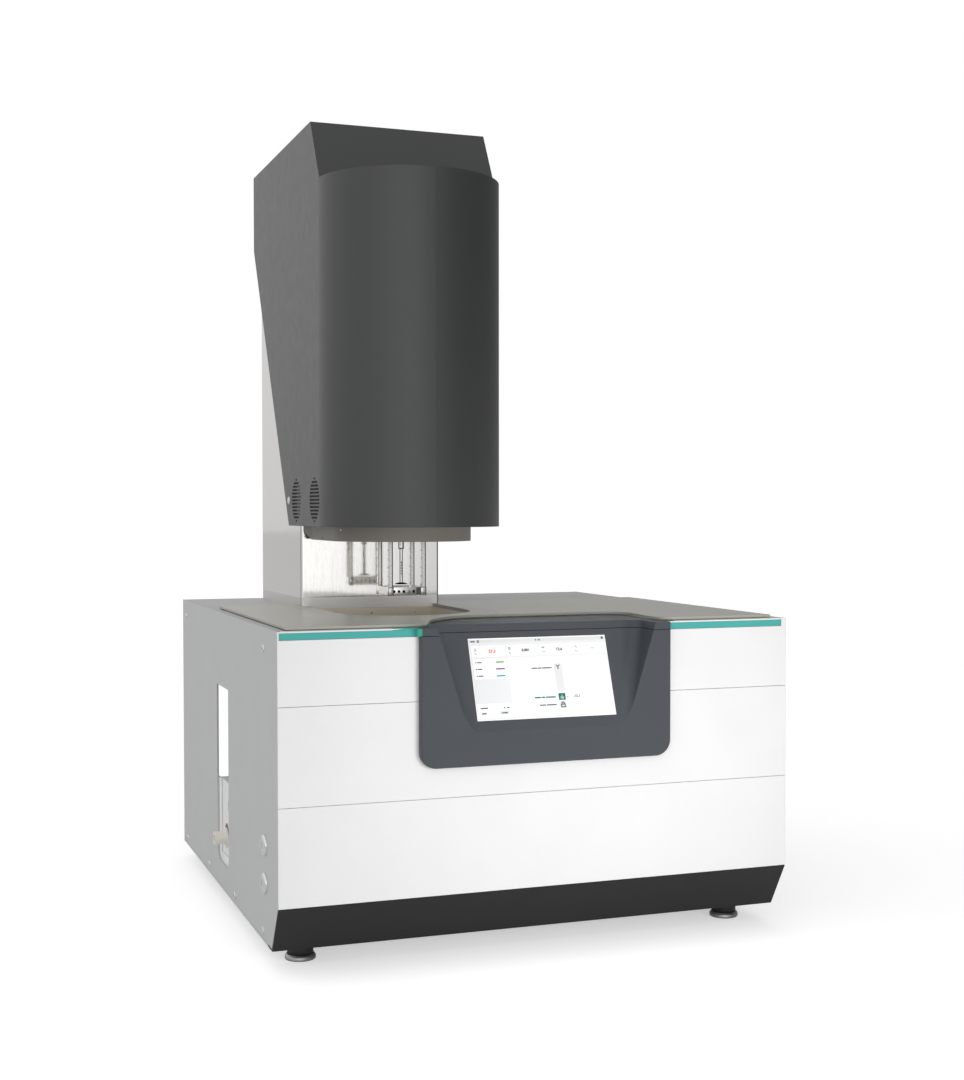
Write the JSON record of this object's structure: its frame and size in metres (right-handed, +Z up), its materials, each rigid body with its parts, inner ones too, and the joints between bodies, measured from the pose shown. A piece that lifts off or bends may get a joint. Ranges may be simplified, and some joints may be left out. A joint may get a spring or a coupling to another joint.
{
  "type": "dynamic mechanical analyzer",
  "caption": "Bench analyzer: cabinet with display and lifting furnace, offset column, tall rounded head with hanging drilled sample frame and driven push rod.",
  "frame": {"origin": "centre of the footprint on the floor plane, under the cabinet", "axes": "+Z up, the front with the display faces -Y, +X to the right seen from the front"},
  "size_m": [0.5824, 0.6067, 0.9],
  "materials": {
    "white_paint": "fine textured powder coat",
    "grey_paint": "satin powder coat",
    "teal_paint": "satin",
    "black_paint": "matte",
    "head_paint": "matte powder coat",
    "bezel_plastic": "fine grain",
    "olive_paint": "satin",
    "deck_paint": "satin",
    "beige_sheet": "satin",
    "ring_paint": "satin",
    "column_steel": "vertical brush",
    "steel": "satin",
    "bright_steel": "polished",
    "aluminium": "satin",
    "magnet_iron": "satin",
    "copper": "enamelled wire",
    "bronze": "turned",
    "black_plastic": "moulded",
    "board": "solder mask",
    "insulation": "ceramic fibre",
    "seal": "matte",
    "screen": "gloss",
    "nozzle_plastic": "turned"
  },
  "bodies": {
    "root": {"base_tray": "grey_paint", "inner_frame": "steel", "left_side_panel": "grey_paint", "right_side_panel": "grey_paint", "front_panel_lower": "white_paint", "front_panel_middle": "white_paint", "front_panel_upper": "white_paint", "trim_strip": "teal_paint", "plinth": "black_paint", "feet": "steel", "rear_panel": "grey_paint", "side_fasteners": "bright_steel", "deck_plate": "deck_paint", "deck_cover": "olive_paint", "opening_ring": "olive_paint", "shaft_liner": "beige_sheet", "display_bezel": "bezel_plastic", "display_shelf": "bezel_plastic", "display_screen": "screen", "display_module": "black_plastic", "column": "column_steel", "head_base_plate": "aluminium", "head_ring": "ring_paint", "head_cover": "head_paint", "sample_frame": "bright_steel", "drive_frame": "aluminium", "drive_magnet": "magnet_iron", "displacement_sensor": "steel", "guide_bushings": "bronze", "circuit_boards": "board", "fan_frames": "black_plastic", "lift_frame": "steel", "guide_rails": "bright_steel", "screw_bearings": "steel", "lift_motor": "black_plastic", "gas_ports": "bright_steel", "gas_block": "aluminium", "power_supply": "aluminium", "rear_sockets": "black_plastic"},
    "furnace": {"lift_carriage": "aluminium", "lift_nut": "bronze", "furnace_housing": "steel", "furnace_top_plate": "steel", "furnace_seal": "seal", "furnace_insulation": "insulation", "furnace_liner": "steel", "heating_element": "copper", "furnace_base": "steel", "coolant_box": "grey_paint", "coolant_nozzle": "nozzle_plastic"},
    "screw": {"lead_screw": "steel"},
    "push_shaft": {"push_rod": "bright_steel", "push_plate": "bright_steel", "force_sensor": "aluminium", "drive_spindle": "steel", "drive_coil": "aluminium"},
    "head_fan_rear": {"head_fan_rotor_rear": "black_plastic"},
    "head_fan_front": {"head_fan_rotor_front": "black_plastic"},
    "rear_fan": {"rear_fan_rotor": "black_plastic"},
    "rocker": {"mains_rocker": "black_plastic"}
  },
  "joints": [
    {"name": "furnace_lift", "type": "slide", "parent": "root", "child": "furnace", "axis": [0, 0, 1], "range_m": [0, 0.165]},
    {"name": "screw_turn", "type": "hinge", "parent": "root", "child": "screw", "pos_m": [-0.095, 0.078, 0.2], "axis": [0, 0, -1], "range_deg": [0, 11881]},
    {"name": "push_slide", "type": "slide", "parent": "root", "child": "push_shaft", "axis": [0, 0, 1], "range_m": [-0.002, 0.02], "stiffness_N_per_m": 6000, "springref_m": 0.0008},
    {"name": "head_fan_rear_spin", "type": "hinge", "parent": "root", "child": "head_fan_rear", "pos_m": [-0.188, -0.001, 0.476], "axis": [1, 0, 0], "continuous": true},
    {"name": "head_fan_front_spin", "type": "hinge", "parent": "root", "child": "head_fan_front", "pos_m": [-0.188, -0.0918, 0.476], "axis": [1, 0, 0], "continuous": true},
    {"name": "rear_fan_spin", "type": "hinge", "parent": "root", "child": "rear_fan", "pos_m": [0.08, 0.282, 0.17], "axis": [0, 1, 0], "continuous": true},
    {"name": "rocker_tilt", "type": "hinge", "parent": "root", "child": "rocker", "pos_m": [0.219, 0.2935, 0.075], "axis": [-1, 0, 0], "range_deg": [0, 24]}
  ],
  "couplings": [
    {"joint": "screw_turn", "follows": "furnace_lift", "rad_per_m": 1256.6}
  ]
}
